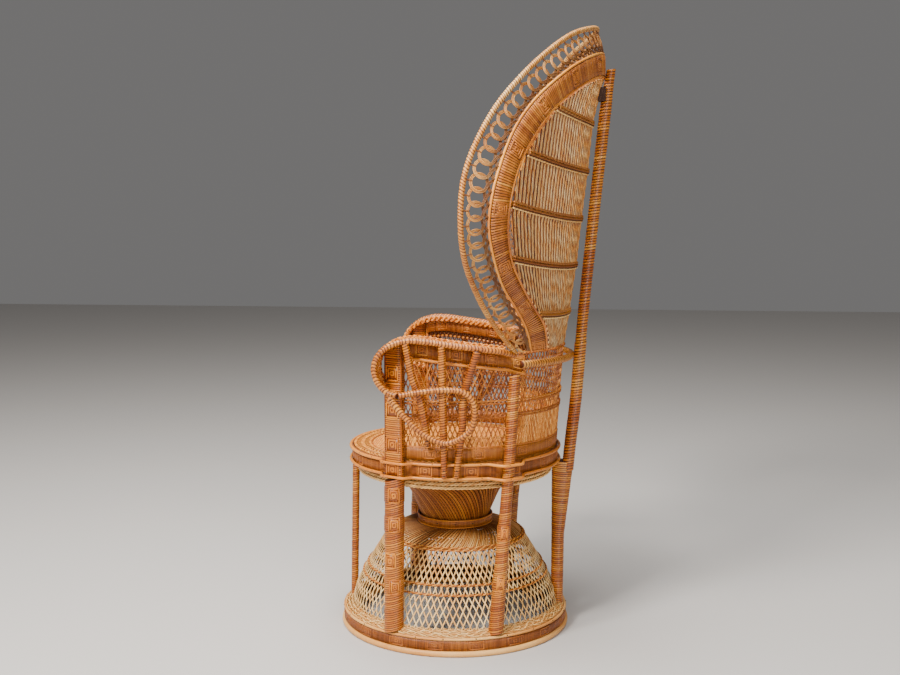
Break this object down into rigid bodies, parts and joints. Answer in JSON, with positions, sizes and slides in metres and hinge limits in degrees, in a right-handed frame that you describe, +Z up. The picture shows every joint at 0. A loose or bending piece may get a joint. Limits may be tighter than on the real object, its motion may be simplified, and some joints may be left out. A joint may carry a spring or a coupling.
{
  "type": "rattan peacock armchair",
  "caption": "Woven rattan armchair: tall flaring fan back with a looped lace rim, scroll arms, round seat and a waisted drum base.",
  "frame": {"origin": "on the floor, under the middle of the chair's box", "axes": "+Z up, -Y is where the sitter faces, +X is the sitter's left"},
  "size_m": [1.0546, 0.7026, 1.5315],
  "materials": {
    "wrap": "glossy wrapped cane peel",
    "cane": "clear varnished peeled cane",
    "weave": "satin woven cane",
    "band": "satin stained strip weave",
    "timber": "plain dark wood"
  },
  "bodies": {
    "root": {"arm_leg_left": "wrap", "arm_leg_right": "wrap", "front_leg": "wrap", "rear_leg": "wrap", "rear_post_left": "wrap", "rear_post_right": "wrap", "arm_pole_left": "wrap", "arm_pole_right": "wrap", "arm_loop_left": "wrap", "arm_loop_right": "wrap", "rim_pole": "wrap", "spine_pole": "wrap", "belt_hoop": "wrap", "arm_post_left": "wrap", "arm_post_right": "wrap", "arm_strut_1_left": "wrap", "arm_strut_1_right": "wrap", "arm_strut_2_left": "wrap", "arm_strut_2_right": "wrap", "arm_strut_3_left": "wrap", "arm_strut_3_right": "wrap", "floor_hoop": "cane", "base_top_cane": "cane", "seat_bottom_cane": "cane", "seat_top_cane": "cane", "arm_outer_cane_left": "cane", "arm_outer_cane_right": "cane", "rim_lace": "cane", "band_outer_cane": "cane", "band_inner_cane": "cane", "skirt_row_low": "cane", "skirt_row_middle": "cane", "skirt_row_high": "cane", "base_braid": "cane", "skirt_weave": "cane", "seat_braid": "cane", "seat_deck": "cane", "arm_sheet_left": "cane", "arm_sheet_right": "cane", "arm_inner_braid_left": "cane", "arm_inner_braid_right": "cane", "cone_weave": "weave", "wall_weave": "weave", "back_weave": "weave", "base_band": "band", "waist_band": "band", "seat_band": "band", "wall_lower_band": "band", "arm_outer_band_left": "band", "arm_outer_band_right": "band", "arm_inner_band_left": "band", "arm_inner_band_right": "band", "rim_band": "band", "waist_hoop": "timber", "seat_hoop": "timber", "seat_batten_left": "timber", "seat_batten_right": "timber", "spine_block": "timber"}
  },
  "joints": []
}
